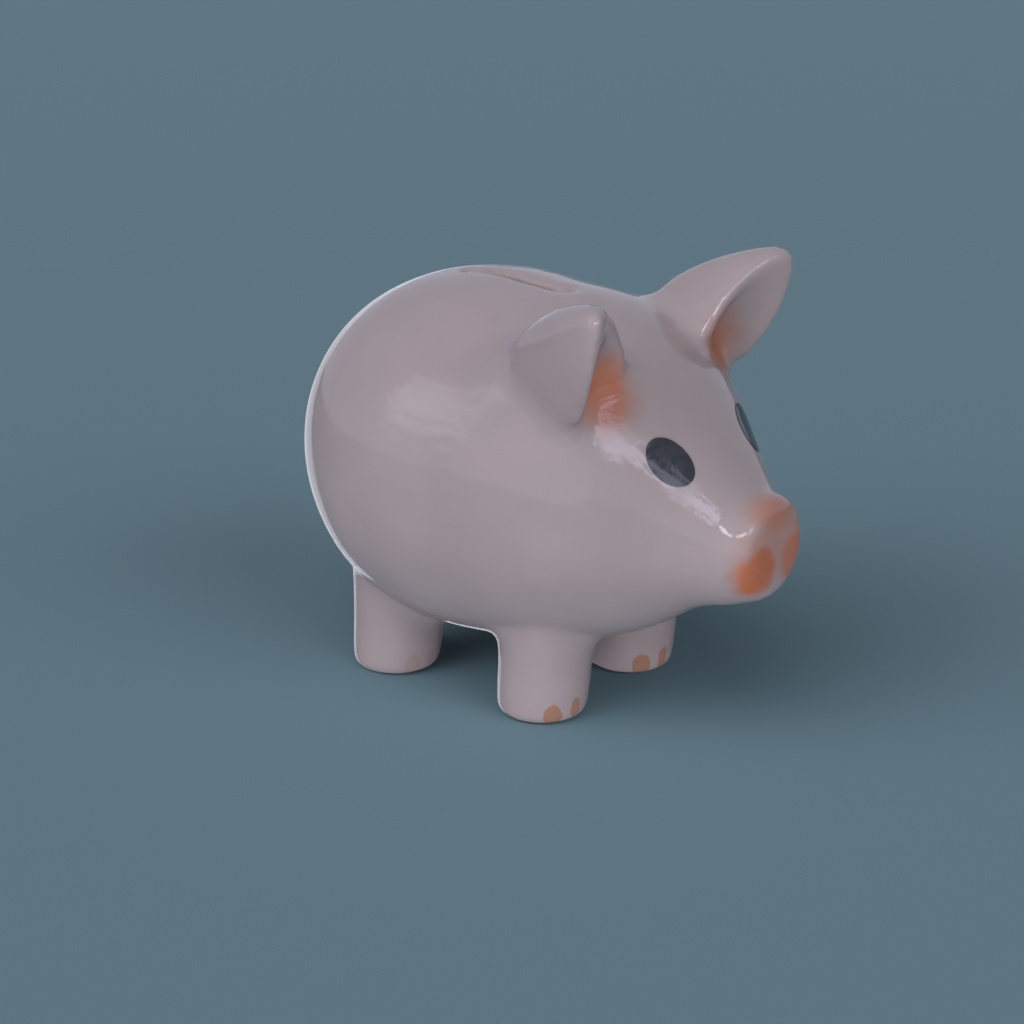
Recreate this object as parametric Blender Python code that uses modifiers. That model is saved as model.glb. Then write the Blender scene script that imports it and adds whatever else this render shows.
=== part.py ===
"""A ceramic piggy bank, built from the pieces that a potter joins together.

Frame: metres, +Z up, feet on z = 0. The pig looks along -Y, and +X is its left side.
The origin is on the floor, under the middle of the whole length.
"""

import math
from collections import namedtuple

import bmesh
import bpy
import numpy as np
from mathutils import Matrix, Vector

# Overall sizes of the pot
BODY_LENGTH = 0.1411        # snout face to rump
BODY_WIDTH = 0.0986
BACK_HEIGHT = 0.1093        # floor to the highest point of the back
BELLY_HEIGHT = 0.0120       # floor to the lowest point of the belly
WALL = 0.0040               # thickness of the cast clay
SNOUT_EDGE = 0.0045         # rounding round the flat face of the snout

# Coin slot, along the middle of the back
SLOT_LENGTH = 0.0355
SLOT_WIDTH = 0.0048
SLOT_BEHIND_SNOUT = 0.0813  # snout face to the middle of the slot

# Legs
LEG_SPREAD = 0.0394         # left to right, between the legs' axes
LEG_STRIDE = 0.0500         # front to rear, between the legs' axes
LEGS_BEHIND_SNOUT = 0.0820  # snout face to the middle of the four legs
FOOT_RADIUS = 0.0118
LEG_FLARE = 0.044           # growth of the leg's radius for each metre of height
FOOT_EDGE = 0.0020
SOLE = 0.0040               # clay under the leg's bore
LEG_BORE = 0.0060           # radius of the hollow in the leg
VENT_RADIUS = 0.0015        # air hole from each leg into the pot

# Ears. The first two values place the root on the head. The others are steps from the root,
# away from the middle, towards the tail and up: where each of the ear's three edges leaves the
# head, and the point that it bends towards on its way to the tip.
EAR_BEHIND_SNOUT = 0.0415
EAR_ROUND = 36.0            # degrees round the head, from straight up
EAR_TIP = Vector((0.0178, -0.0172, 0.0228))
EAR_OUTER_EDGE = (Vector((0.0095, -0.0045, -0.0110)), Vector((0.0195, -0.0170, 0.0040)))
EAR_INNER_EDGE = (Vector((-0.0084, -0.0078, 0.0010)), Vector((-0.0011, -0.0093, 0.0175)))
EAR_BACK_EDGE = (Vector((0.0050, 0.0205, 0.0030)), Vector((0.0085, 0.0065, 0.0178)))
EAR_SCOOP = 0.26            # depth of the hollow front at the root, as a share of the ear's
EAR_SCOOP_ENDS = 0.80       # share of the way to the tip where the hollow has run out
EAR_LIP = 0.84              # width of the hollow, as a share of the ear's
EAR_TIP_BLUNT = 0.90        # share of the way to the tip where the ear is rounded off
EAR_ROOT_DEPTH = 0.0140     # how far the uncut ear reaches into the head
EAR_ROOT_WIDTH = 0.5        # width of the uncut ear at that depth, as a share of its width outside
EAR_TIP_LEAN = 0.4          # how far the blunted end leans towards the sharp tip

# Eyes
EYE_LENGTH = 0.0142         # along the slope of the face
EYE_WIDTH = 0.0104
EYE_BEHIND_SNOUT = 0.0208
EYE_ROUND = 41.0            # degrees round the head, from straight up
EYE_THICKNESS = 0.0006

# Nostrils
NOSTRIL_SPREAD = 0.0170
NOSTRIL_HEIGHT = 0.0490
NOSTRIL_RADIUS = 0.0030
NOSTRIL_DEPTH = 0.0012

# Tail
TAIL_RADIUS = 0.0023
TAIL_COIL = 0.0078          # radius of the coil at the tail's root
TAIL_TURNS = 1.2
TAIL_START = -100.0         # degrees round the coil at the root, from the pig's left
TAIL_CLOSING = 0.68         # share of the coil's radius that is lost on the way to the end
TAIL_TAPER = 0.3            # share of the tail's own radius that is lost
TAIL_SINK = 0.0002          # the tail's centre line, outside the rump

# Stopper and the hole that it closes
HOLE_RADIUS = 0.0130
HOLE_BEHIND_SNOUT = 0.0820
FLANGE_WIDTH = 0.0032       # how far the flange reaches past the hole
FLANGE_THICKNESS = 0.0020
LAND_DEPTH = 0.0034         # belly's lowest point up to the flat that the flange seats on
COLLAR_WIDTH = 0.0070       # thick ring of clay round the hole, past its edge
BUNG_HEIGHT = 0.0080
BUNG_RIB = 0.0005           # how far each sealing rib stands out
TAB_WIDTH = 0.0130
TAB_THICKNESS = 0.0032
TAB_DROP = 0.0055

# Clearance between pieces that touch, and the fineness of the round shapes
GAP = 0.0003
SIDES = 32
SPANS = 3                   # rings of the skin for each stretch between two sections
CAVITY_START = 5            # how many of the skin's first rings lie in front of the cavity
EAR_ROWS = 7
EAR_STEPS = 12
TAIL_POINTS = 22
SQUARENESS = 2.1            # exponent of the skin's outline: 2 is an ellipse

# The skin's sections, from the snout to the rump. `behind` is a share of the length, `side` of
# half the width, and `top` and `bottom` of the height between the belly and the back.
Section = namedtuple("Section", "name behind top bottom side")
SECTIONS = [
    Section("muzzle", 0.058, 0.550, 0.240, 0.335),
    Section("face", 0.135, 0.680, 0.208, 0.500),
    Section("brow", 0.249, 0.874, 0.103, 0.780),
    Section("crown", 0.381, 0.970, 0.036, 0.953),
    Section("shoulder", 0.512, 0.990, 0.008, 0.990),
    Section("barrel", 0.640, 1.000, 0.000, 1.000),
    Section("haunch", 0.782, 0.961, 0.046, 0.913),
    Section("rump", 0.896, 0.850, 0.178, 0.690),
    Section("dock", 0.974, 0.635, 0.310, 0.335),
    Section("end", 1.000, 0.463, 0.463, 0.000),
]
RIM = Section("rim", SNOUT_EDGE / BODY_LENGTH, 0.543, 0.256, 0.303)

# The tail stands behind the rump, so the snout lies half of the whole length in front.
TAIL_STANDOUT = TAIL_SINK + TAIL_RADIUS
SNOUT_Y = -(BODY_LENGTH + TAIL_STANDOUT) / 2
RUMP_Y = SNOUT_Y + BODY_LENGTH

Ring = namedtuple("Ring", "y middle height side")


# Scene, collections and materials

def clear_scene():
    for old in list(bpy.data.objects):
        bpy.data.objects.remove(old, do_unlink=True)


def new_collection(name):
    collection = bpy.data.collections.new(name)
    bpy.context.scene.collection.children.link(collection)
    return collection


def make_material(name, colour, roughness):
    material = bpy.data.materials.new(name)
    material.use_nodes = True
    shader = material.node_tree.nodes["Principled BSDF"]
    shader.inputs["Base Color"].default_value = (*colour, 1.0)
    shader.inputs["Roughness"].default_value = roughness
    shader.inputs["Metallic"].default_value = 0.0
    return material


def finish_mesh(name, mesh_data, collection):
    """Turn a bmesh into an object whose faces point outwards."""
    bmesh.ops.recalc_face_normals(mesh_data, faces=mesh_data.faces)
    mesh = bpy.data.meshes.new(name)
    mesh_data.to_mesh(mesh)
    mesh_data.free()
    shape = bpy.data.objects.new(name, mesh)
    collection.objects.link(shape)
    return shape


def as_piece(shape, material):
    shape.data.materials.clear()
    shape.data.materials.append(material)
    shape.data.shade_smooth()
    shape.data.set_sharp_from_angle(angle=math.radians(40))
    return shape


def as_cutter(shape):
    shape.hide_render = True
    shape.display_type = "WIRE"
    return shape


def boolean(shape, other, operation="DIFFERENCE"):
    modifier = shape.modifiers.new(other.name, "BOOLEAN")
    modifier.operation = operation
    modifier.object = other
    return modifier


# The skin: one smooth surface from the snout to the rump

def through(values, spans):
    """A smooth curve through the values, with the given number of steps between neighbours."""
    values = np.array(values)
    slopes = np.gradient(values)
    curve = []
    for i in range(len(values) - 1):
        for t in np.arange(spans) / spans:
            rise = values[i + 1] - values[i]
            bend = t * t * (3 - 2 * t)
            lead = t * (1 - t) ** 2
            lag = -t * t * (1 - t)
            curve.append(values[i] + rise * bend + slopes[i] * lead + slopes[i + 1] * lag)
    curve.append(values[-1])
    return np.array(curve)


def skin_rings(spans):
    """The rings of the skin, from the edge of the snout's face to the end of the rump."""
    tall = BACK_HEIGHT - BELLY_HEIGHT
    sections = [RIM] + SECTIONS
    y = SNOUT_Y + through([s.behind for s in sections], spans) * BODY_LENGTH
    top = BELLY_HEIGHT + through([s.top for s in sections], spans) * tall
    bottom = BELLY_HEIGHT + through([s.bottom for s in sections], spans) * tall
    side = through([s.side for s in sections], spans) * BODY_WIDTH / 2
    rings = [Ring(*values) for values in zip(y, (top + bottom) / 2, (top - bottom) / 2, side)]
    rim = rings[0]
    rounding = []
    for angle in np.radians([0, 30, 60]):
        inset = SNOUT_EDGE * (1 - math.sin(angle))
        y = SNOUT_Y + SNOUT_EDGE * (1 - math.cos(angle))
        rounding.append(Ring(y, rim.middle, rim.height - inset, rim.side - inset))
    return rounding + rings


def ring_point(ring, angle):
    """A point on a ring, where the angle runs from straight up towards the pig's left."""
    across = math.copysign(abs(math.sin(angle)) ** (2 / SQUARENESS), math.sin(angle))
    up = math.copysign(abs(math.cos(angle)) ** (2 / SQUARENESS), math.cos(angle))
    return Vector((ring.side * across, ring.y, ring.middle + ring.height * up))


def ring_at(y):
    """The skin's ring at a place along the body, read from a finely divided skin."""
    fine = np.array(skin_rings(40))
    return Ring(y, *[float(np.interp(y, fine[:, 0], fine[:, i])) for i in (1, 2, 3)])


def skin_place(behind_snout, degrees):
    """A point on the skin, with the direction that the skin faces there."""
    y = SNOUT_Y + behind_snout
    angle = math.radians(degrees)
    step = 0.0005
    point = ring_point(ring_at(y), angle)
    along = ring_point(ring_at(y + step), angle) - ring_point(ring_at(y - step), angle)
    around = ring_point(ring_at(y), angle + 0.01) - ring_point(ring_at(y), angle - 0.01)
    outwards = around.cross(along).normalized()
    if outwards.dot(point - Vector((0, y, ring_at(y).middle))) < 0:
        outwards.negate()
    return point, outwards


def make_skin(name, collection, grow=0.0, skip=0):
    """A closed solid inside the skin, grown outwards by `grow`, without its first rings."""
    data = bmesh.new()
    rings = skin_rings(SPANS)[skip:]
    loops = []
    for ring in rings[:-1]:
        angles = [math.tau * i / SIDES for i in range(SIDES)]
        loops.append([data.verts.new(ring_point(ring, angle)) for angle in angles])
    for near, far in zip(loops, loops[1:]):
        for i in range(SIDES):
            j = (i + 1) % SIDES
            data.faces.new((near[i], near[j], far[j], far[i]))
    end = data.verts.new((0, rings[-1].y, rings[-1].middle))
    for i in range(SIDES):
        data.faces.new((loops[-1][i], loops[-1][(i + 1) % SIDES], end))
    bmesh.ops.recalc_face_normals(data, faces=data.faces)
    data.normal_update()
    outwards = 1 if end.normal.y > 0 else -1
    for vert, normal in [(v, v.normal.copy()) for v in data.verts]:
        vert.co += normal * grow * outwards
    data.faces.new(list(reversed(loops[0])))
    return finish_mesh(name, data, collection)


# Plain cutters and blanks

def make_cylinder(name, collection, radius, low, high, centre, sides=SIDES):
    """An upright cylinder between two heights."""
    data = bmesh.new()
    bmesh.ops.create_cone(
        data, cap_ends=True, segments=sides, radius1=radius, radius2=radius, depth=high - low,
        matrix=Matrix.Translation((centre[0], centre[1], (low + high) / 2)))
    return finish_mesh(name, data, collection)


def make_turned(name, profile, collection, steps=SIDES):
    """A solid turned round Z from a profile that runs down its outer side."""
    mesh = bpy.data.meshes.new(name)
    edges = [(i, i + 1) for i in range(len(profile) - 1)]
    mesh.from_pydata([(r, 0, z) for r, z in profile], edges, [])
    shape = bpy.data.objects.new(name, mesh)
    collection.objects.link(shape)
    screw = shape.modifiers.new("turn", "SCREW")
    screw.steps = steps
    screw.render_steps = steps
    screw.use_merge_vertices = True
    screw.merge_threshold = 0.00001
    return shape


# Body shell

def hole_y():
    return SNOUT_Y + HOLE_BEHIND_SNOUT


def land_height():
    """Height of the flat round the belly hole, which the stopper's flange seats on."""
    return BELLY_HEIGHT + LAND_DEPTH


def flange_radius():
    return HOLE_RADIUS + FLANGE_WIDTH


def make_cavity(cutters):
    """The hollow inside the pot, with the thick collar round the belly hole left standing."""
    cavity = as_cutter(make_skin("cavity", cutters, grow=-WALL, skip=CAVITY_START))
    collar = as_cutter(make_cylinder(
        "collar", cutters, HOLE_RADIUS + COLLAR_WIDTH, 0, land_height() + WALL, (0, hole_y())))
    boolean(cavity, collar)
    return cavity


def make_slot(cutters):
    """The coin slot: a slab with round ends, from inside the pot to above its back."""
    data = bmesh.new()
    bmesh.ops.create_cube(data, size=1)
    low = BACK_HEIGHT - 4 * WALL
    high = BACK_HEIGHT + WALL
    bmesh.ops.scale(data, vec=(SLOT_WIDTH, SLOT_LENGTH, high - low), verts=data.verts)
    bmesh.ops.translate(
        data, vec=(0, SNOUT_Y + SLOT_BEHIND_SNOUT, (low + high) / 2), verts=data.verts)
    upright = [e for e in data.edges if abs(e.verts[0].co.z - e.verts[1].co.z) > WALL]
    bmesh.ops.bevel(data, geom=upright, offset=SLOT_WIDTH * 0.49, segments=4, profile=0.5,
                    affect="EDGES", material=-1)
    return as_cutter(finish_mesh("slot", data, cutters))


def make_nostril(side, cutters):
    """A ball that presses a shallow dimple into the flat face of the snout."""
    data = bmesh.new()
    reach = NOSTRIL_RADIUS ** 2 / (2 * NOSTRIL_DEPTH) + NOSTRIL_DEPTH / 2
    bmesh.ops.create_uvsphere(data, u_segments=24, v_segments=24, radius=reach)
    middle = SNOUT_Y - reach + NOSTRIL_DEPTH
    bmesh.ops.translate(data, vec=(side * NOSTRIL_SPREAD / 2, middle, NOSTRIL_HEIGHT), verts=data.verts)
    return as_cutter(finish_mesh("nostril", data, cutters))


def leg_places():
    """Each leg's name and the place of its axis on the floor."""
    for end, forward in (("front", -1), ("rear", 1)):
        for side, left in (("right", -1), ("left", 1)):
            y = SNOUT_Y + LEGS_BEHIND_SNOUT + forward * LEG_STRIDE / 2
            yield f"{end}_{side}_leg", (left * LEG_SPREAD / 2, y)


def make_body_shell(parts, cutters, clay):
    """The cast pot: barrel, head and snout in one hollow wall."""
    shell = make_skin("body_shell", parts)
    boolean(shell, make_cavity(cutters))
    boolean(shell, make_slot(cutters))
    place = (0, hole_y())
    recess = make_cylinder("flange_recess", cutters, flange_radius() + 2 * GAP, 0, land_height(), place)
    hole = make_cylinder("belly_hole", cutters, HOLE_RADIUS, 0, land_height() + 2 * WALL, place)
    boolean(shell, as_cutter(recess))
    boolean(shell, as_cutter(hole))
    for side in (-1, 1):
        boolean(shell, make_nostril(side, cutters))
    for name, centre in leg_places():
        ring = ring_at(centre[1])
        vent = make_cylinder(f"{name}_vent", cutters, VENT_RADIUS, 0, ring.middle, centre, sides=12)
        boolean(shell, as_cutter(vent))
    return as_piece(shell, clay)


# Legs

def make_leg(name, centre, parts, cutters, skin, clay):
    """A hollow conical leg with a flat sole, cut on top to the shape of the belly."""
    top = ring_at(centre[1]).middle
    edge = []
    for angle in np.radians([0, 30, 60, 90]):
        inset = FOOT_EDGE * (1 - math.cos(angle))
        edge.append((FOOT_RADIUS - inset, FOOT_EDGE * (1 - math.sin(angle))))
    profile = [(0, top), (FOOT_RADIUS + LEG_FLARE * top, top), *edge, (0, 0)]
    leg = make_turned(name, profile, parts, steps=28)
    leg.location = (*centre, 0)
    bore = make_cylinder(f"{name}_bore", cutters, LEG_BORE, SOLE, top, centre, sides=20)
    boolean(leg, skin)
    boolean(leg, as_cutter(bore))
    return as_piece(leg, clay)


# Ears

def edge_point(root, edge, side, share):
    """A point on one of the ear's edges, which bends from the head towards the tip."""
    start, bend = edge
    step = start * (1 - share) ** 2 + bend * 2 * share * (1 - share) + EAR_TIP * share ** 2
    return root + Vector((side * step.x, step.y, step.z))


def ear_ring(root, side, share, count):
    """A crescent across the ear: round its back from lip to lip, then through the hollow."""
    inner = edge_point(root, EAR_INNER_EDGE, side, share)
    outer = edge_point(root, EAR_OUTER_EDGE, side, share)
    back = edge_point(root, EAR_BACK_EDGE, side, share)
    middle = (inner + outer) / 2
    across = (outer - inner) / 2
    depth = back - middle
    scoop = EAR_SCOOP * (1 - (share / EAR_SCOOP_ENDS) ** 2)
    angles = [math.pi * (i / count - 0.5) for i in range(count + 1)]
    ring = [middle + across * math.sin(a) + depth * math.cos(a) for a in angles]
    for a in reversed(angles[1:-1]):
        ring.append(middle + across * EAR_LIP * math.sin(a) + depth * scoop * math.cos(a))
    return ring


def make_ear(side, name, parts, skin, clay):
    """A leaf of clay, hollow on its front and cut at its root to the shape of the head."""
    root, outwards = skin_place(EAR_BEHIND_SNOUT, side * EAR_ROUND)
    inside = root - outwards * EAR_ROOT_DEPTH
    shares = [EAR_TIP_BLUNT * math.sin(math.pi / 2 * i / EAR_ROWS) for i in range(EAR_ROWS + 1)]
    rings = [ear_ring(root, side, share, EAR_STEPS) for share in shares]
    rings.insert(0, [inside.lerp(point, EAR_ROOT_WIDTH) for point in rings[0]])

    data = bmesh.new()
    loops = [[data.verts.new(point) for point in ring] for ring in rings]
    for near, far in zip(loops, loops[1:]):
        for i in range(len(near)):
            j = (i + 1) % len(near)
            data.faces.new((near[i], near[j], far[j], far[i]))
    last = [vert.co for vert in loops[-1]]
    end = edge_point(root, EAR_BACK_EDGE, side, 1)
    tip = data.verts.new((sum(last, Vector()) / len(last)).lerp(end, EAR_TIP_LEAN))
    for i in range(len(loops[-1])):
        data.faces.new((loops[-1][i], loops[-1][(i + 1) % len(loops[-1])], tip))
    data.faces.new(list(reversed(loops[0])))
    ear = finish_mesh(name, data, parts)
    boolean(ear, skin)
    return as_piece(ear, clay)


# Eyes

def make_eye(side, name, parts, inner, outer, enamel):
    """A thin oval patch of dark enamel that follows the curve of the head."""
    point, outwards = skin_place(EYE_BEHIND_SNOUT, side * EYE_ROUND)
    above, _ = skin_place(EYE_BEHIND_SNOUT + EYE_LENGTH / 2, side * EYE_ROUND)
    upwards = above - point
    upwards = (upwards - outwards * upwards.dot(outwards)).normalized()
    turn = Matrix((outwards.cross(upwards), upwards, outwards)).transposed().to_4x4()
    data = bmesh.new()
    bmesh.ops.create_cone(data, cap_ends=True, segments=24, radius1=0.5, radius2=0.5, depth=1)
    bmesh.ops.scale(data, vec=(EYE_WIDTH, EYE_LENGTH, EYE_WIDTH), verts=data.verts)
    bmesh.ops.transform(data, matrix=Matrix.Translation(point) @ turn, verts=data.verts)
    eye = finish_mesh(name, data, parts)
    boolean(eye, outer, "INTERSECT")
    boolean(eye, inner)
    return as_piece(eye, enamel)


# Tail

def make_tail(parts, skin, clay):
    """A small roll of clay, coiled flat against the rump."""
    middle = ring_at(RUMP_Y).middle
    curve = bpy.data.curves.new("tail_path", "CURVE")
    curve.dimensions = "3D"
    curve.bevel_depth = TAIL_RADIUS
    curve.bevel_resolution = 2
    curve.use_fill_caps = True
    spline = curve.splines.new("POLY")
    spline.points.add(TAIL_POINTS - 1)
    for i, point in enumerate(spline.points):
        share = i / (TAIL_POINTS - 1)
        angle = math.radians(TAIL_START) + math.tau * TAIL_TURNS * share
        radius = TAIL_COIL * (1 - TAIL_CLOSING * share)
        x = radius * math.cos(angle)
        z = middle + radius * math.sin(angle)
        sag = radius ** 2 / BODY_WIDTH
        point.co = (x, RUMP_Y + TAIL_SINK - sag, z, 1)
        point.radius = 1 - TAIL_TAPER * share
    rope = bpy.data.objects.new("tail_rope", curve)
    parts.objects.link(rope)
    bpy.context.view_layer.update()
    seen = rope.evaluated_get(bpy.context.evaluated_depsgraph_get())
    mesh = bpy.data.meshes.new_from_object(seen)
    data = bmesh.new()
    data.from_mesh(mesh)
    bmesh.ops.remove_doubles(data, verts=data.verts, dist=0.00001)
    tail = finish_mesh("tail", data, parts)
    bpy.data.objects.remove(rope, do_unlink=True)
    boolean(tail, skin)
    return as_piece(tail, clay)


# Belly stopper

def make_stopper(parts, cutters, rubber):
    """A soft bung with a flange outside the belly, two sealing ribs and a tab to pull."""
    seat = land_height() - GAP
    outer = HOLE_RADIUS - GAP
    core = outer - BUNG_RIB
    top = seat + BUNG_HEIGHT
    rib = BUNG_RIB * 2
    profile = [(0, top), (core - rib, top), (core, top - rib)]
    # Each rib is two steps tall. The first starts one step below the top edge, the second a step
    # below the first.
    for height in (top - 2 * rib, top - 5 * rib):
        profile += [(core, height), (outer, height - rib), (core, height - 2 * rib)]
    flange = flange_radius()
    low = seat - FLANGE_THICKNESS
    profile += [(core, seat), (flange, seat), (flange, low + rib), (flange - rib, low), (0, low)]
    stopper = make_turned("belly_stopper", profile, parts)
    stopper.location = (0, hole_y(), 0)

    data = bmesh.new()
    bmesh.ops.create_cone(data, cap_ends=True, segments=24, radius1=TAB_WIDTH / 2, radius2=TAB_WIDTH / 2,
                          depth=TAB_THICKNESS, matrix=Matrix.Rotation(math.pi / 2, 4, "Y"))
    bmesh.ops.translate(data, vec=(0, hole_y(), low - TAB_DROP + TAB_WIDTH / 2), verts=data.verts)
    tab = as_cutter(finish_mesh("pull_tab", data, cutters))
    boolean(stopper, tab, "UNION")
    return as_piece(stopper, rubber)


def build():
    clear_scene()
    parts = new_collection("piggy_bank")
    cutters = new_collection("cutters")
    clay = make_material("pink_glaze", (0.60, 0.47, 0.45), 0.25)
    enamel = make_material("dark_enamel", (0.03, 0.03, 0.035), 0.25)
    rubber = make_material("stopper_rubber", (0.62, 0.60, 0.57), 0.6)
    skin = as_cutter(make_skin("skin_clearance", cutters, grow=GAP))
    outer = as_cutter(make_skin("eye_face", cutters, grow=GAP + EYE_THICKNESS))

    make_body_shell(parts, cutters, clay)
    for name, centre in leg_places():
        make_leg(name, centre, parts, cutters, skin, clay)
    for side, word in ((-1, "right"), (1, "left")):
        make_ear(side, f"{word}_ear", parts, skin, clay)
        make_eye(side, f"{word}_eye", parts, skin, outer, enamel)
    make_tail(parts, skin, clay)
    make_stopper(parts, cutters, rubber)


build()
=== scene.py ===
import math

import bmesh
import bpy
import numpy as np
from mathutils import Matrix, Vector


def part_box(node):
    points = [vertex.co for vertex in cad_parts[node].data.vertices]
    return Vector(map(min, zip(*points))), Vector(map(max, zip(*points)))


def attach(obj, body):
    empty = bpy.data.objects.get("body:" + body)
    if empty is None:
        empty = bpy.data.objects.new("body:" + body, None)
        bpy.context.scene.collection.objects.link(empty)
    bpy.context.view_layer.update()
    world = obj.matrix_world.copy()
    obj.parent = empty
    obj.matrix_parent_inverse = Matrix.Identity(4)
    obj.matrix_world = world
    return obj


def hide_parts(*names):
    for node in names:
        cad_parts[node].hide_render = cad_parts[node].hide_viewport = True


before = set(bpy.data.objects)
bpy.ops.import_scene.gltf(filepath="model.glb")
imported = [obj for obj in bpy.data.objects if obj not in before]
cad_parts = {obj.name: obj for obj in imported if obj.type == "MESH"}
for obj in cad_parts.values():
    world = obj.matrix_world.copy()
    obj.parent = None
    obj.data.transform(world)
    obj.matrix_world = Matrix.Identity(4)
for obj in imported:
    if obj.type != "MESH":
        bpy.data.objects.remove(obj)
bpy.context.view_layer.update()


# Camera. A small product on a table, seen from above its right shoulder with a long lens, so
# that the whole animal sits in the middle of the frame.

camera_data = bpy.data.cameras.new("camera")
camera_data.lens = 70.58
camera_data.sensor_width = 36
camera = bpy.data.objects.new("camera", camera_data)
bpy.context.scene.collection.objects.link(camera)
camera.location = (-0.4034, -0.3026, 0.2277)
looking = Vector((0.7427, 0.5773, -0.3394))
camera.rotation_euler = looking.to_track_quat("-Z", "Y").to_euler()
bpy.context.scene.camera = camera


# The pot: barrel, head and snout of a pig in one hollow wall of white earthenware, slip-cast in
# a two-part mould. Its sections run from the snout to the rump, each a slightly squared round.

pot_low, pot_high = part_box("body_shell")
pot_length = pot_high.y - pot_low.y
pot_tall = pot_high.z - pot_low.z
pot_half_width = (pot_high.x - pot_low.x) / 2
clay_wall = 0.004
snout_rounding = 0.0045
squareness = 2.1
sections_round = 96
rings_each = 14

# Each row holds the share of the length from the snout, the shares of the height that the top
# and the bottom reach, and the share of the half width.
pot_sections = [
    (snout_rounding / pot_length, 0.543, 0.256, 0.303),
    (0.058, 0.550, 0.240, 0.335),
    (0.135, 0.680, 0.208, 0.500),
    (0.249, 0.874, 0.103, 0.780),
    (0.381, 0.970, 0.036, 0.953),
    (0.512, 0.990, 0.008, 0.990),
    (0.640, 1.000, 0.000, 1.000),
    (0.782, 0.961, 0.046, 0.913),
    (0.896, 0.850, 0.178, 0.690),
    (0.974, 0.635, 0.310, 0.335),
    (1.000, 0.463, 0.463, 0.000),
]


def fair_curve(values, steps):
    """Draw a smooth curve through one column of the sections."""
    slopes = np.gradient(np.array(values))
    curve = []
    for i in range(len(values) - 1):
        rise = values[i + 1] - values[i]
        for t in np.arange(steps) / steps:
            bend = t * t * (3 - 2 * t)
            lead = slopes[i] * t * (1 - t) ** 2 - slopes[i + 1] * t * t * (1 - t)
            curve.append(values[i] + rise * bend + lead)
    return np.array(curve + [values[-1]])


def pot_rings(steps):
    """List the rings of the pot as rows of y, middle height, half height and half width."""
    behind, top, bottom, side = [fair_curve(column, steps) for column in zip(*pot_sections)]
    y = pot_low.y + behind * pot_length
    middle = pot_low.z + (top + bottom) / 2 * pot_tall
    half = (top - bottom) / 2 * pot_tall
    return np.stack([y, middle, half, side * pot_half_width], axis=1)


def around(ring, angle):
    """Give the point of a ring at an angle from straight up towards the pig's left."""
    y, middle, half, side = ring
    across = math.copysign(abs(math.sin(angle)) ** (2 / squareness), math.sin(angle))
    up = math.copysign(abs(math.cos(angle)) ** (2 / squareness), math.cos(angle))
    return Vector((side * across, y, middle + half * up))


def pot_ring_at(y):
    """Read the pot's ring at a place along the body."""
    fine = pot_rings(40)
    return [y] + [float(np.interp(y, fine[:, 0], fine[:, i])) for i in (1, 2, 3)]


def draw_out(rows):
    """Pull a circle out through rows of points, and close both ends."""
    shape = bmesh.new()
    order = shape.verts.layers.int.new("order")
    bmesh.ops.create_circle(shape, cap_ends=False, segments=len(rows[0]), radius=1)
    shape.verts.ensure_lookup_table()
    for i, vert in enumerate(shape.verts):
        vert[order] = i
    edge = list(shape.edges)
    for vert in shape.verts:
        vert.co = rows[0][vert[order]]
    bmesh.ops.contextual_create(shape, geom=edge)
    for row in rows[1:]:
        grown = bmesh.ops.extrude_edge_only(shape, edges=edge)["geom"]
        for vert in [g for g in grown if isinstance(g, bmesh.types.BMVert)]:
            vert.co = row[vert[order]]
        edge = [g for g in grown if isinstance(g, bmesh.types.BMEdge)]
    bmesh.ops.contextual_create(shape, geom=edge)
    bmesh.ops.remove_doubles(shape, verts=shape.verts, dist=0.000001)
    bmesh.ops.recalc_face_normals(shape, faces=shape.faces)
    return shape


def set_down(name, shape):
    """Turn a bmesh into an object of the scene."""
    mesh = bpy.data.meshes.new(name)
    shape.to_mesh(mesh)
    shape.free()
    made = bpy.data.objects.new(name, mesh)
    bpy.context.scene.collection.objects.link(made)
    return made


def cut_away(target, tool):
    """Cut a tool's shape out of a piece."""
    cut = target.modifiers.new("cut", "BOOLEAN")
    cut.operation = "DIFFERENCE"
    cut.solver = "EXACT"
    cut.object = tool


def make_real(piece):
    """Keep the result of a piece's modifiers as its mesh."""
    graph = bpy.context.evaluated_depsgraph_get()
    mesh = bpy.data.meshes.new_from_object(piece.evaluated_get(graph))
    piece.modifiers.clear()
    piece.data = mesh


turns = [math.tau * i / sections_round for i in range(sections_round)]
skin_rings = pot_rings(rings_each)
front = skin_rings[0]
snout_edge = []
for slope in np.radians(np.arange(0, 90, 12)):
    inset = snout_rounding * (1 - math.sin(slope))
    set_back = snout_rounding * (1 - math.cos(slope))
    snout_edge.append((pot_low.y + set_back, front[1], front[2] - inset, front[3] - inset))
skin_rows = [[around(ring, turn) for turn in turns] for ring in [*snout_edge, *skin_rings]]
pot = set_down("glazed_pot", draw_out(skin_rows))


# The coin slot, cut through the back while the clay is leather-hard and wiped with a sponge,
# which leaves its lips soft.

slot_half = Vector((0.0020, 0.01775, 0.006))
slot_behind_snout = 0.0813
slot_middle = Vector((0, pot_low.y + slot_behind_snout, pot_high.z))
slot_shape = bmesh.new()
bmesh.ops.create_cube(slot_shape, size=2)
bmesh.ops.scale(slot_shape, vec=slot_half, verts=slot_shape.verts)
upright = [e for e in slot_shape.edges if abs(e.verts[0].co.z - e.verts[1].co.z) > slot_half.z]
bmesh.ops.bevel(slot_shape, geom=upright, offset=slot_half.x * 0.98, segments=8, profile=0.5,
                affect="EDGES", material=-1)
bmesh.ops.translate(slot_shape, vec=slot_middle, verts=slot_shape.verts)
slot_tool = set_down("slot_tool", slot_shape)
cut_away(pot, slot_tool)


# The belly hole, where the casting slip was poured out. A flat land round it takes the flange of
# the stopper.

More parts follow.
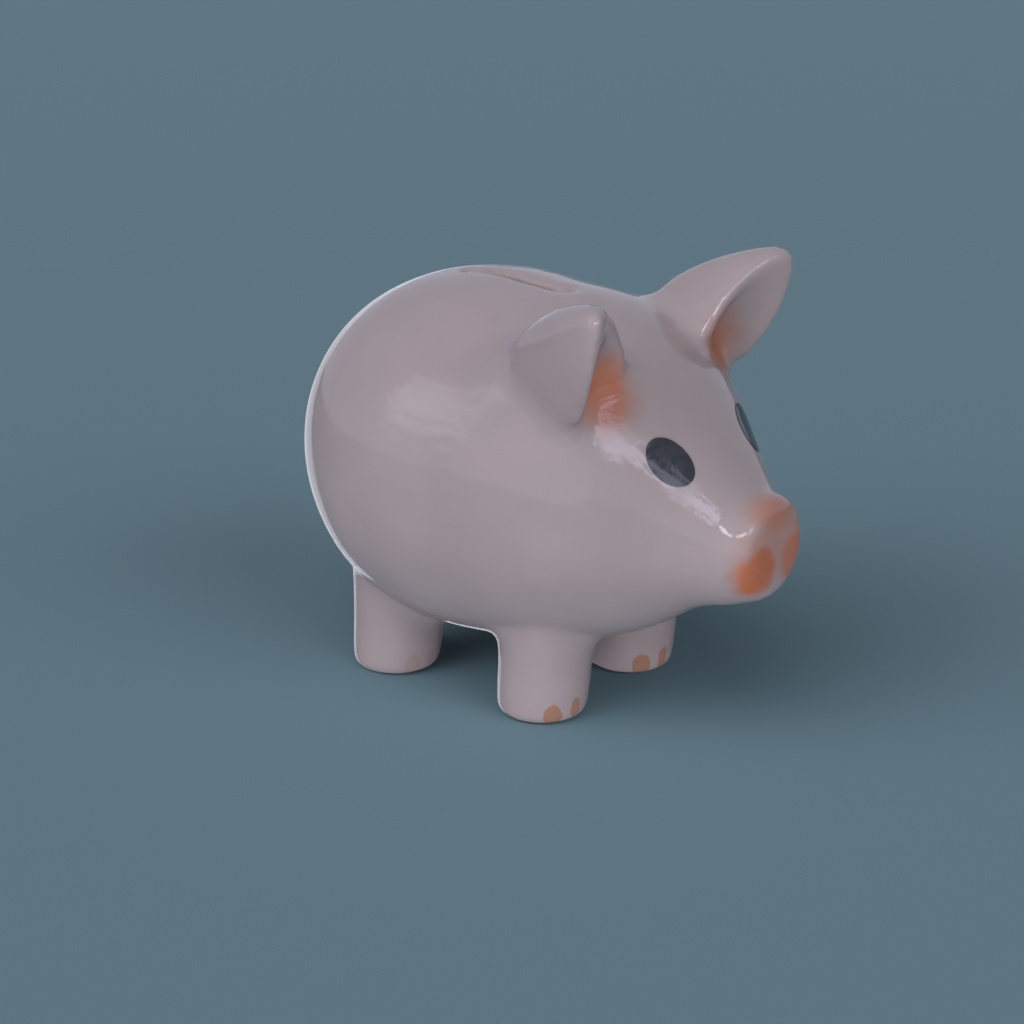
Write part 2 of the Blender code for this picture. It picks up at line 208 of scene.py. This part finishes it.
stopper_low, stopper_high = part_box("belly_stopper")
hole_middle = (stopper_low + stopper_high) / 2
flange_radius = (stopper_high.x - stopper_low.x) / 2
flange_reach = 0.0032
flange_gap = 0.0006
hole_radius = flange_radius - flange_reach
land_depth = 0.0034
land = pot_low.z + land_depth
hole_depth = 0.006
below = -0.01
hole_shape = bmesh.new()
for radius, low, high in ((flange_radius + flange_gap, below, land),
                          (hole_radius, below, land + hole_depth)):
    bmesh.ops.create_cone(
        hole_shape, cap_ends=True, segments=96, radius1=radius, radius2=radius, depth=high - low,
        matrix=Matrix.Translation((0, hole_middle.y, (low + high) / 2)))
hole_tool = set_down("hole_tool", hole_shape)
cut_away(pot, hole_tool)
pot.modifiers[-1].use_self = True
make_real(pot)


# The legs: four short stumps, cast hollow and stuck on with slip. They widen a little towards
# the belly and lean forward, and their edges are wiped round.

leg_names = ["front_right_leg", "front_left_leg", "rear_right_leg", "rear_left_leg"]
foot_radius = 0.0118
leg_flare = 0.044
leg_lean = 0.08
lean_from = 0.006
leg_places = []
blanks = [pot]
for name in leg_names:
    low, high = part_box(name)
    tall = pot_ring_at((low.y + high.y) / 2)[1]
    place = Vector(((low.x + high.x) / 2, (low.y + high.y) / 2, 0))
    leg_places.append(place)
    leg = bmesh.new()
    bmesh.ops.create_cone(leg, cap_ends=True, segments=64, radius1=foot_radius,
                          radius2=foot_radius + leg_flare * tall, depth=tall,
                          matrix=Matrix.Translation((0, 0, tall / 2)))
    sole = [e for e in leg.edges if all(v.co.z < 0.0001 for v in e.verts)]
    bmesh.ops.bevel(leg, geom=sole, offset=0.002, segments=6, profile=0.5, affect="EDGES",
                    material=-1)
    for vert in leg.verts:
        vert.co.y -= leg_lean * (vert.co.z - lean_from)
    bmesh.ops.translate(leg, vec=place, verts=leg.verts)
    blanks.append(set_down(name + "_blank", leg))


# The ears: two leaves of clay, pressed over a thumb so that the front is hollow, and set on the
# head with their tips forward.

ear_tip = Vector((0.0178, -0.0172, 0.0228))
ear_outer_edge = (Vector((0.0095, -0.0045, -0.0110)), Vector((0.0195, -0.0170, 0.0040)))
ear_inner_edge = (Vector((-0.0084, -0.0078, 0.0010)), Vector((-0.0011, -0.0093, 0.0175)))
ear_back_edge = (Vector((0.0050, 0.0205, 0.0030)), Vector((0.0085, 0.0065, 0.0178)))
ear_scoop = 0.26
ear_scoop_ends = 0.80
ear_lip = 0.84
ear_blunt = 0.90
ear_swell = 0.0010
ear_spot = 0.0415
ear_turn = math.radians(36)


def ear_edge(root, edge, side, share):
    """Follow one edge of the ear from the head towards the tip."""
    start, bend = edge
    step = start * (1 - share) ** 2 + bend * 2 * share * (1 - share) + ear_tip * share ** 2
    return root + Vector((side * step.x, step.y, step.z))


def ear_row(root, side, share):
    """Draw a crescent across the ear: round the back, then through the hollow."""
    inner, outer, back = [ear_edge(root, edge, side, share)
                          for edge in (ear_inner_edge, ear_outer_edge, ear_back_edge)]
    middle = (inner + outer) / 2
    half = (outer - inner) / 2
    depth = back - middle
    arc = np.radians(np.arange(-90, 91, 5))
    row = [middle + half * math.sin(a) + depth * math.cos(a) for a in arc]
    scoop = ear_scoop * (1 - (share / ear_scoop_ends) ** 2)
    hollow = [middle + half * ear_lip * math.sin(a) + depth * scoop * math.cos(a) for a in arc]
    return row + hollow[-2:0:-1]


ear_roots = {}
for side, word in ((-1, "right"), (1, "left")):
    root = around(pot_ring_at(pot_low.y + ear_spot), side * ear_turn)
    ear_roots[word] = root
    shares = [ear_blunt * math.sin(math.pi / 2 * i / 24) for i in range(25)]
    rows = [ear_row(root, side, share) for share in shares]
    inside = Vector((side * 0.008, root.y + 0.004, root.z - 0.012))
    rows.insert(0, [inside.lerp(point, 0.5) for point in rows[0]])
    last = sum(rows[-1], Vector()) / len(rows[-1])
    tip = last.lerp(ear_edge(root, ear_back_edge, side, 1), 0.4)
    rows.append([tip.lerp(point, 0.5) for point in rows[-1]])
    rows.append([tip for point in rows[-1]])
    ear = draw_out(rows)
    ear.normal_update()
    for vert, outwards in [(v, v.normal.copy()) for v in ear.verts]:
        vert.co += outwards * ear_swell
    blanks.append(set_down(word + "_ear_blank", ear))


# The tail: a thin roll of clay that tapers to its end, curled flat against the rump and pressed
# on with slip.

tail_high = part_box("tail")[1]
tail_radius = 0.0023
tail_taper = 0.3
tail_coil = 0.0078
tail_closing = 0.68
tail_turns = 1.2
tail_start = math.radians(-100)
tail_points = 70
tail_middle = pot_ring_at(pot_high.y)[1]
tail_line = []
for share in np.linspace(0, 1, tail_points):
    angle = tail_start + math.tau * tail_turns * share
    coil = tail_coil * (1 - tail_closing * share)
    sag = coil ** 2 / (2 * pot_half_width)
    tail_line.append(Vector((coil * math.cos(angle), tail_high.y - tail_radius - sag,
                             tail_middle + coil * math.sin(angle))))
tail_rows = []
last = tail_points - 1
tail_end_from = 64
for i, centre in enumerate(tail_line):
    ahead = (tail_line[min(i + 1, last)] - tail_line[max(i - 1, 0)]).normalized()
    out = ahead.cross(Vector((0, 1, 0))).normalized()
    up = out.cross(ahead)
    rounding = math.sqrt(max(0.02, 1 - max(0, (i - tail_end_from) / 5.2) ** 2))
    thick = tail_radius * (1 - tail_taper * i / last) * rounding
    tail_rows.append([centre + (out * math.cos(a) + up * math.sin(a)) * thick
                      for a in np.arange(20) / 20 * math.tau])
blanks.append(set_down("tail_blank", draw_out(tail_rows)))


# Joining and glazing: legs, ears and tail are luted on and the seams smoothed over with a wet
# brush, then clear glaze rounds every edge. Voxels join the blanks, and smoothing is the brush.

grain = 0.00090
hole_keep = 0.0172
joined = bmesh.new()
for blank in blanks:
    joined.from_mesh(blank.data)
joined.to_mesh(pot.data)
joined.free()
for blank in blanks[1:]:
    bpy.data.objects.remove(blank, do_unlink=True)
remesh = pot.modifiers.new("join", "REMESH")
remesh.mode = "VOXEL"
remesh.voxel_size = grain
remesh.adaptivity = 0
make_real(pot)

glazed = bmesh.new()
glazed.from_mesh(pot.data)


def brush(where, passes):
    """Smooth the clay where it is touched."""
    touched = [v for v in glazed.verts if where(v.co)]
    for i in range(passes):
        bmesh.ops.smooth_vert(glazed, verts=touched, factor=0.5, use_axis_x=True, use_axis_y=True,
                              use_axis_z=True)


def off_hole(co):
    """Measure how far a point lies from the axis of the belly hole."""
    return math.hypot(co.x, co.y - hole_middle.y)


def by_leg(co):
    """Tell whether a point lies where a leg meets the belly."""
    near = any(math.hypot(co.x - place.x, co.y - place.y) < 0.018 for place in leg_places)
    return near and 0.010 < co.z < 0.026 and off_hole(co) > hole_keep


fine_rings = pot_rings(40)


def above_skin(co):
    """Measure roughly how far a point stands out of the pot's own skin."""
    middle, half, side = [float(np.interp(co.y, fine_rings[:, 0], fine_rings[:, i]))
                          for i in (1, 2, 3)]
    reach = math.hypot(co.x / side, (co.z - middle) / half) if side > 0.001 else 1
    return (reach - 1) * min(half, side)


def by_ear(co):
    """Tell whether a point lies at the back or side of an ear's root."""
    return any((co - root).length < 0.031 and co.y > root.y - 0.008 and above_skin(co) < 0.0075
               for root in ear_roots.values())


def in_ear(co):
    """Tell whether a point lies where the hollow of an ear runs out on the head."""
    return any((co - root).length < 0.020 and co.y <= root.y and above_skin(co) < 0.0055
               for root in ear_roots.values())


def on_ear(co):
    """Tell whether a point lies on an ear, clear of the head."""
    near = any((co - root).length < 0.040 for root in ear_roots.values())
    return near and above_skin(co) > 0.002


def on_snout(co):
    """Tell whether a point lies on the flat end of the snout."""
    return co.y < pot_low.y + 0.010


def by_slot(co):
    """Tell whether a point lies on the lips of the coin slot."""
    return (abs(co.x) < 0.0045 and abs(co.y - slot_middle.y) < slot_half.y + 0.002
            and co.z > slot_middle.z - 0.004)


def by_tail(co):
    """Tell whether a point lies on the tail or the rump beside it."""
    return co.y > pot_high.y - 0.003


def near_hole(co):
    """Tell whether a point lies in or beside the belly hole."""
    return off_hole(co) < hole_keep and co.z < land + 0.008


brush(lambda co: not near_hole(co), 5)
brush(by_leg, 30)
brush(by_ear, 110)
brush(on_ear, 12)
brush(in_ear, 80)
brush(on_snout, 18)
brush(by_slot, 3)
brush(lambda co: not near_hole(co) and not by_tail(co), 5)
brush(near_hole, 3)
glazed.to_mesh(pot.data)
glazed.free()

# The hollow inside, left where the slip was poured out again: the skin set in by the wall.
cavity_steps = 5
solid_snout_rings = 9
solid_rump_rings = 3
cavity_rows = []
for y, middle, half, side in pot_rings(cavity_steps)[solid_snout_rings:-solid_rump_rings]:
    cavity_rows.append([around((y, middle, half - clay_wall, side - clay_wall), turn)
                        for turn in turns[::2]])
cavity_tool = set_down("cavity_tool", draw_out(cavity_rows))
cut_away(pot, cavity_tool)
make_real(pot)
for tool in (slot_tool, hole_tool, cavity_tool):
    bpy.data.objects.remove(tool, do_unlink=True)
pot.data.shade_smooth()


# The glaze: a pink underglaze, a little mottled, with orange blush sponged on the snout and in
# the ears and two toes painted on each foot, all under one clear shiny coat. The paint on the rear
# toes is nearly worn off, and a rubbed place below each eye is duller.

pink = (0.342, 0.280, 0.283, 1)
pink_deep = (0.320, 0.260, 0.266, 1)
orange = (0.410, 0.118, 0.046, 1)
toe_tan = (0.318, 0.160, 0.106, 1)

glaze = bpy.data.materials.new("pink_glaze")
glaze.use_nodes = True
tree = glaze.node_tree
shader = tree.nodes["Principled BSDF"]
place_on = tree.nodes.new("ShaderNodeTexCoord")


def noise(tree, coordinates, scale, detail, roughness=0.5):
    """Add a noise pattern on the piece."""
    pattern = tree.nodes.new("ShaderNodeTexNoise")
    pattern.inputs["Scale"].default_value = scale
    pattern.inputs["Detail"].default_value = detail
    pattern.inputs["Roughness"].default_value = roughness
    tree.links.new(coordinates, pattern.inputs["Vector"])
    return pattern


def spread(tree, value, low, high, to_low=0.0, to_high=1.0, smooth=True):
    """Map a range of values onto another, with soft ends."""
    ranger = tree.nodes.new("ShaderNodeMapRange")
    ranger.interpolation_type = "SMOOTHSTEP" if smooth else "LINEAR"
    for name, number in (("From Min", low), ("From Max", high),
                         ("To Min", to_low), ("To Max", to_high)):
        ranger.inputs[name].default_value = number
    tree.links.new(value, ranger.inputs["Value"])
    return ranger.outputs["Result"]


def work_out(tree, operation, first, second):
    """Combine two values."""
    worked = tree.nodes.new("ShaderNodeMath")
    worked.operation = operation
    for socket, value in zip(worked.inputs, (first, second)):
        if isinstance(value, (int, float)):
            socket.default_value = value
        else:
            tree.links.new(value, socket)
    return worked.outputs["Value"]


def dab(tree, coordinates, centre, reach, solid, strength, turn=(0, 0, 0)):
    """Paint an oval touch of colour: full inside, fading out to its reach."""
    mapping = tree.nodes.new("ShaderNodeMapping")
    mapping.vector_type = "TEXTURE"
    mapping.inputs["Location"].default_value = centre
    mapping.inputs["Rotation"].default_value = turn
    mapping.inputs["Scale"].default_value = reach
    tree.links.new(coordinates, mapping.inputs["Vector"])
    length = tree.nodes.new("ShaderNodeVectorMath")
    length.operation = "LENGTH"
    tree.links.new(mapping.outputs["Vector"], length.inputs[0])
    return spread(tree, length.outputs["Value"], 1.0, solid, 0.0, strength)


def blend_colours(tree, share, first, second):
    """Mix two colours."""
    mix = tree.nodes.new("ShaderNodeMix")
    mix.data_type = "RGBA"
    tree.links.new(share, mix.inputs["Factor"])
    for socket, value in ((mix.inputs[6], first), (mix.inputs[7], second)):
        if isinstance(value, tuple):
            socket.default_value = value
        else:
            tree.links.new(value, socket)
    return mix.outputs[2]


on_pot = place_on.outputs["Object"]
sponge_stray = 0.0030
wobble = noise(tree, on_pot, 180, 3)
shift = tree.nodes.new("ShaderNodeVectorMath")
shift.operation = "MULTIPLY_ADD"
shift.inputs[1].default_value = (sponge_stray, sponge_stray, sponge_stray)
tree.links.new(wobble.outputs["Color"], shift.inputs[0])
tree.links.new(on_pot, shift.inputs[2])
centred = tree.nodes.new("ShaderNodeVectorMath")
centred.operation = "SUBTRACT"
centred.inputs[1].default_value = (sponge_stray / 2, sponge_stray / 2, sponge_stray / 2)
tree.links.new(shift.outputs["Vector"], centred.inputs[0])
sponged = centred.outputs["Vector"]

snout_top, snout_bottom = pot_sections[0][1:3]
snout = Vector((0, pot_low.y, pot_low.z + (snout_top + snout_bottom) / 2 * pot_tall))
blush = [dab(tree, sponged, snout + Vector(place), reach, solid, strength)
         for place, reach, solid, strength in (
             ((-0.0080, 0.001, -0.0030), (0.0095, 0.009, 0.0088), 0.50, 1.0),
             ((0.0080, 0.001, -0.0030), (0.0095, 0.009, 0.0088), 0.50, 0.85),
             ((0, 0.002, 0.0090), (0.0130, 0.010, 0.0080), 0.30, 0.70),
             ((0, 0.000, 0.0030), (0.0150, 0.007, 0.0130), 0.40, 0.46))]
for side, word in ((-1, "right"), (1, "left")):
    blush.append(dab(tree, sponged, snout + Vector((side * 0.0085, 0.0030, 0.0035)),
                     (0.0070, 0.0070, 0.0065), 0.30, 0.50))
    root = ear_roots[word]
    blush.append(dab(tree, sponged, root + Vector((side * 0.0004, -0.0085, -0.0020)),
                     (0.0120, 0.0120, 0.0135), 0.25, 0.95))
orange_share = blush[0]
for touch in blush[1:]:
    orange_share = work_out(tree, "MAXIMUM", orange_share, touch)
patchy = spread(tree, noise(tree, on_pot, 260, 4).outputs["Fac"], 0.3, 0.7, 0.88, 1.0)
orange_share = work_out(tree, "MULTIPLY", orange_share, patchy)

toes = None
toe_marks = ((-41, 0.0029, 0.0028, 0.95), (-7, 0.0019, 0.0036, 0.90))
worn_marks = ((-28, 0.0026, 0.0024, 0.30), (1, 0.0019, 0.0032, 0.18))
for place, marks in zip(leg_places, (toe_marks, toe_marks, worn_marks, worn_marks)):
    for degrees, wide, high, strength in marks:
        angle = math.radians(degrees)
        spot = place + Vector((math.sin(angle), -math.cos(angle), 0)) * foot_radius
        touch = dab(tree, sponged, (spot.x, spot.y, high), (wide, wide, 0.0042), 0.86, strength)
        toes = touch if toes is None else work_out(tree, "MAXIMUM", toes, touch)

mottle = spread(tree, noise(tree, on_pot, 38, 3, 0.6).outputs["Fac"], 0.30, 0.70)
ground = blend_colours(tree, mottle, pink, pink_deep)
painted = blend_colours(tree, orange_share, ground, orange)
painted = blend_colours(tree, toes, painted, toe_tan)
tree.links.new(painted, shader.inputs["Base Color"])
gloss = spread(tree, noise(tree, on_pot, 90, 4).outputs["Fac"], 0.3, 0.7, 0.06, 0.12)
rubbed = [dab(tree, sponged, (side * 0.0172, pot_low.y + 0.0165, pot_low.z + 0.0560),
              (0.0064, 0.0046, 0.0050), 0.20, 0.34) for side in (-1, 1)]
gloss = work_out(tree, "MAXIMUM", gloss, work_out(tree, "MAXIMUM", *rubbed))
tree.links.new(gloss, shader.inputs["Roughness"])
shader.inputs["IOR"].default_value = 1.5
shader.inputs["Sheen Weight"].default_value = 0.22
shader.inputs["Sheen Roughness"].default_value = 0.15
shader.inputs["Sheen Tint"].default_value = (0.78, 0.86, 1.0, 1)


def orange_peel(tree, shader, coordinates):
    """Ripple the glaze very finely, which breaks the edges of the highlights."""
    bump = tree.nodes.new("ShaderNodeBump")
    bump.inputs["Strength"].default_value = 0.35
    bump.inputs["Distance"].default_value = 0.0001
    tree.links.new(noise(tree, coordinates, 500, 2).outputs["Fac"], bump.inputs["Height"])
    tree.links.new(bump.outputs["Normal"], shader.inputs["Normal"])


orange_peel(tree, shader, on_pot)

pot.data.materials.clear()
pot.data.materials.append(glaze)
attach(pot, "pot")
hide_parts("body_shell", *leg_names, "right_ear", "left_ear", "tail")


# The eyes: two ovals of near-black enamel, painted on and fired under the glaze, so they follow
# the curve of the head and are as shiny as the rest.

enamel = bpy.data.materials.new("dark_enamel")
enamel.use_nodes = True
tree = enamel.node_tree
shader = tree.nodes["Principled BSDF"]
on_eye = tree.nodes.new("ShaderNodeTexCoord").outputs["Object"]
ink = spread(tree, noise(tree, on_eye, 400, 4).outputs["Fac"], 0.3, 0.7)
tree.links.new(blend_colours(tree, ink, (0.022, 0.024, 0.032, 1), (0.036, 0.038, 0.048, 1)),
               shader.inputs["Base Color"])
tree.links.new(spread(tree, noise(tree, on_eye, 200, 3).outputs["Fac"], 0.3, 0.7, 0.06, 0.12),
               shader.inputs["Roughness"])
shader.inputs["IOR"].default_value = 1.4
orange_peel(tree, shader, on_eye)

eye_long = 0.0142
eye_wide = 0.0104
eye_spot = 0.0208
eye_turn = math.radians(41)
for side, word in ((-1, "right"), (1, "left")):
    centre = around(pot_ring_at(pot_low.y + eye_spot), side * eye_turn)
    higher = around(pot_ring_at(pot_low.y + eye_spot + 0.004), side * eye_turn)
    further = around(pot_ring_at(pot_low.y + eye_spot), side * (eye_turn + 0.05))
    upwards = (higher - centre).normalized()
    outwards = upwards.cross(further - centre).normalized() * -side
    sideways = outwards.cross(upwards)
    rows = []
    for share in np.linspace(1, 0, 15):
        rows.append([centre + (upwards * math.cos(a) * eye_long + sideways * math.sin(a) * eye_wide)
                     * share / 2 for a in np.arange(72) / 72 * math.tau])
    eye_shape = draw_out(rows)
    rim = max(eye_shape.faces, key=lambda face: len(face.verts))
    bmesh.ops.delete(eye_shape, geom=[rim], context="FACES_ONLY")
    eye_shape.normal_update()
    if sum((face.normal for face in eye_shape.faces), Vector()).dot(outwards) < 0:
        bmesh.ops.reverse_faces(eye_shape, faces=eye_shape.faces)
    eye = set_down(word + "_eye_oval", eye_shape)
    wrap = eye.modifiers.new("wrap", "SHRINKWRAP")
    wrap.target = pot
    wrap.wrap_method = "NEAREST_SURFACEPOINT"
    wrap.wrap_mode = "ABOVE_SURFACE"
    wrap.offset = 0.0002
    make_real(eye)
    eye.data.materials.append(enamel)
    eye.data.shade_smooth()
    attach(eye, "pot")
    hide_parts(word + "_eye")


# The stopper: a soft off-white rubber bung, moulded in one, with two sealing ribs above a flange
# and a tab below to pull it out by.

rubber = bpy.data.materials.new("stopper_rubber")
rubber.use_nodes = True
tree = rubber.node_tree
shader = tree.nodes["Principled BSDF"]
on_stopper = tree.nodes.new("ShaderNodeTexCoord").outputs["Object"]
dust = spread(tree, noise(tree, on_stopper, 150, 5).outputs["Fac"], 0.35, 0.70)
tree.links.new(blend_colours(tree, dust, (0.60, 0.58, 0.54, 1), (0.50, 0.48, 0.44, 1)),
               shader.inputs["Base Color"])
tree.links.new(spread(tree, noise(tree, on_stopper, 500, 3).outputs["Fac"], 0.3, 0.7, 0.50, 0.65),
               shader.inputs["Roughness"])
fine_grain = tree.nodes.new("ShaderNodeBump")
fine_grain.inputs["Strength"].default_value = 0.3
fine_grain.inputs["Distance"].default_value = 0.00008
tree.links.new(noise(tree, on_stopper, 1500, 2).outputs["Fac"], fine_grain.inputs["Height"])
tree.links.new(fine_grain.outputs["Normal"], shader.inputs["Normal"])

seat = land - 0.0003
bung_radius = hole_radius - 0.0003
bung_core = bung_radius - 0.0005
bung_top = stopper_high.z
flange_low = seat - 0.0020
profile = [(0, bung_top), (bung_core - 0.0012, bung_top), (bung_core - 0.0004, bung_top - 0.0003),
           (bung_core, bung_top - 0.0011)]
for rib in (bung_top - 0.0030, bung_top - 0.0060):
    for step in np.linspace(-1, 1, 9):
        profile.append((bung_core + 0.0005 * math.cos(step * math.pi / 2), rib - step * 0.0010))
profile += [(bung_core, seat), (flange_radius - 0.0007, seat),
            (flange_radius - 0.0002, seat - 0.0002), (flange_radius, seat - 0.0007),
            (flange_radius - 0.0002, flange_low + 0.0005),
            (flange_radius - 0.0009, flange_low + 0.0001), (flange_radius - 0.0015, flange_low),
            (0, flange_low)]
bung = bmesh.new()
line = [bung.verts.new((r, 0, z)) for r, z in profile]
edges = [bung.edges.new(pair) for pair in zip(line, line[1:])]
bmesh.ops.spin(bung, geom=line + edges, cent=(0, 0, 0), axis=(0, 0, 1), angle=math.tau, steps=96,
               use_merge=True, use_duplicate=False)
bmesh.ops.remove_doubles(bung, verts=bung.verts, dist=0.00001)
bmesh.ops.translate(bung, vec=(0, hole_middle.y, 0), verts=bung.verts)
bmesh.ops.recalc_face_normals(bung, faces=bung.faces)
stopper = set_down("stopper_with_tab", bung)

tab_wide = 0.0130
tab_thick = 0.0032
tab = bmesh.new()
bmesh.ops.create_cone(tab, cap_ends=True, segments=64, radius1=tab_wide / 2, radius2=tab_wide / 2,
                      depth=tab_thick, matrix=Matrix.Rotation(math.pi / 2, 4, "Y"))
rims = [e for e in tab.edges if abs(e.verts[0].co.x - e.verts[1].co.x) < 0.0001]
bmesh.ops.bevel(tab, geom=rims, offset=0.0008, segments=4, profile=0.5, affect="EDGES",
                material=-1)
bmesh.ops.translate(tab, vec=(0, hole_middle.y, stopper_low.z + tab_wide / 2), verts=tab.verts)
tab_tool = set_down("tab_tool", tab)
join = stopper.modifiers.new("join", "BOOLEAN")
join.operation = "UNION"
join.solver = "EXACT"
join.object = tab_tool
make_real(stopper)
bpy.data.objects.remove(tab_tool, do_unlink=True)
stopper.data.materials.append(rubber)
stopper.data.shade_smooth()
stopper.data.set_sharp_from_angle(angle=math.radians(50))
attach(stopper, "stopper")
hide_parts("belly_stopper")


# The floor: one plain, pale slate-blue sheet that runs past the edges of the view. Its underside
# lets light through, so the feet and the belly can be looked at from below.

floor_shape = bmesh.new()
bmesh.ops.create_grid(floor_shape, x_segments=1, y_segments=1, size=30)
floor = set_down("floor", floor_shape)
card = bpy.data.materials.new("floor_card")
card.use_nodes = True
tree = card.node_tree
shader = tree.nodes["Principled BSDF"]
shader.inputs["Base Color"].default_value = (0.144, 0.230, 0.269, 1)
shader.inputs["Roughness"].default_value = 0.9
shader.inputs["Specular IOR Level"].default_value = 0.1
clear = tree.nodes.new("ShaderNodeBsdfTransparent")
side_seen = tree.nodes.new("ShaderNodeNewGeometry")
either = tree.nodes.new("ShaderNodeMixShader")
tree.links.new(side_seen.outputs["Backfacing"], either.inputs["Fac"])
tree.links.new(shader.outputs["BSDF"], either.inputs[1])
tree.links.new(clear.outputs["BSDF"], either.inputs[2])
tree.links.new(either.outputs["Shader"], tree.nodes["Material Output"].inputs["Surface"])
floor.data.materials.append(card)


# The light: a plain soft studio. Three big soft boxes stand on the camera's side and overhead.
# The shiny glaze mirrors a bluish room with bright, uneven windows in it. The camera itself sees
# only a backdrop of the floor's colour.

world = bpy.data.worlds.new("studio")
bpy.context.scene.world = world
world.use_nodes = True
tree = world.node_tree
tree.nodes.clear()
room = tree.nodes.new("ShaderNodeTexCoord").outputs["Generated"]
leaves = spread(tree, noise(tree, room, 14, 6, 0.7).outputs["Fac"], 0.38, 0.62, -1.0, 1.0, False)


def glow_of(colour, strength):
    """Make an even glow."""
    glow = tree.nodes.new("ShaderNodeBackground")
    glow.inputs["Color"].default_value = (*colour, 1)
    if isinstance(strength, (int, float)):
        glow.inputs["Strength"].default_value = strength
    else:
        tree.links.new(strength, glow.inputs["Strength"])
    return glow.outputs["Background"]


def window(azimuth, elevation, wide, tall, solid, ragged, strength, colour):
    """Light an oval of the room: azimuth 0 is ahead of the snout and -90 the pig's right."""
    a, e = math.radians(azimuth), math.radians(elevation)
    ahead = Vector((math.sin(a) * math.cos(e), -math.cos(a) * math.cos(e), math.sin(e)))
    mapping = tree.nodes.new("ShaderNodeMapping")
    mapping.vector_type = "TEXTURE"
    mapping.inputs["Location"].default_value = ahead
    mapping.inputs["Rotation"].default_value = ahead.to_track_quat("-Y", "Z").to_euler()
    mapping.inputs["Scale"].default_value = (math.radians(wide), 1, math.radians(tall))
    tree.links.new(room, mapping.inputs["Vector"])
    length = tree.nodes.new("ShaderNodeVectorMath")
    length.operation = "LENGTH"
    tree.links.new(mapping.outputs["Vector"], length.inputs[0])
    tattered = work_out(tree, "MULTIPLY", leaves, ragged)
    edge = work_out(tree, "ADD", length.outputs["Value"], tattered)
    return glow_of(colour, work_out(tree, "MULTIPLY", spread(tree, edge, 1.0, solid), strength))


def all_of(glows):
    """Add several lights together."""
    total = glows[0]
    for glow in glows[1:]:
        both = tree.nodes.new("ShaderNodeAddShader")
        tree.links.new(total, both.inputs[0])
        tree.links.new(glow, both.inputs[1])
        total = both.outputs["Shader"]
    return total


def either_of(choice, otherwise, chosen):
    """Show one light or the other."""
    mix = tree.nodes.new("ShaderNodeMixShader")
    tree.links.new(choice, mix.inputs["Fac"])
    tree.links.new(otherwise, mix.inputs[1])
    tree.links.new(chosen, mix.inputs[2])
    return mix.outputs["Shader"]


box_white = (0.97, 0.97, 1.03)
soft_boxes = all_of([
    glow_of(box_white, 0.03),
    window(-112, 31, 36, 21, 0.35, 0, 3.7, box_white),
    window(-8, 32, 32, 19, 0.35, 0, 4.2, box_white),
    window(-90, 62, 50, 28, 0.35, 0, 1.9, box_white),
])
mirrored = all_of([
    glow_of((0.64, 0.68, 0.82), 0.85),
    window(-13, 33, 10, 8, 0.95, 0.6, 4.2, (0.76, 0.74, 1.0)),
    window(-57, 39, 20, 4, 0.90, 0.3, 8.0, (1.0, 0.96, 0.98)),
    window(-127, 29, 11, 15, 0.55, 0.6, 1.1, (0.96, 0.92, 1.0)),
])
rays = tree.nodes.new("ShaderNodeLightPath")
shown = either_of(rays.outputs["Is Glossy Ray"], soft_boxes, mirrored)
shown = either_of(rays.outputs["Is Camera Ray"], shown, glow_of((0.1195, 0.188, 0.231), 1.0))
output = tree.nodes.new("ShaderNodeOutputWorld")
tree.links.new(shown, output.inputs["Surface"])

# Three big cards lift the shade: one low beside the camera, one under the table edge, and one far
# behind that draws a bright rim. Only the object takes their light, so the floor keeps its shadow.
piece_group = bpy.data.collections.new("lit_by_cards")
for piece in [o for o in bpy.context.scene.objects if o.type == "MESH" and o is not floor]:
    piece_group.objects.link(piece)
for name, size, energy, mirrors, place in (
        ("low_card", 0.8, 4.6, False, Vector((-0.77, -0.48, -0.35))),
        ("under_card", 1.6, 1.5, False, Vector((0, 0, -0.25))),
        ("far_card", 1.0, 1.7, True, Vector((0.62, 0.98, -0.30)))):
    card_light = bpy.data.lights.new(name, "AREA")
    card_light.shape = "DISK"
    card_light.size = size
    card_light.energy = energy
    card_light.color = box_white
    card_light.cycles.max_bounces = 0
    card_stand = bpy.data.objects.new(name, card_light)
    card_stand.location = place
    card_stand.rotation_euler = (Vector((0, 0, 0.05)) - place).to_track_quat("-Z", "Y").to_euler()
    card_stand.visible_glossy = mirrors
    bpy.context.scene.collection.objects.link(card_stand)
    card_stand.light_linking.receiver_collection = piece_group
    card_stand.light_linking.blocker_collection = piece_group

bpy.context.scene.view_settings.view_transform = "Standard"
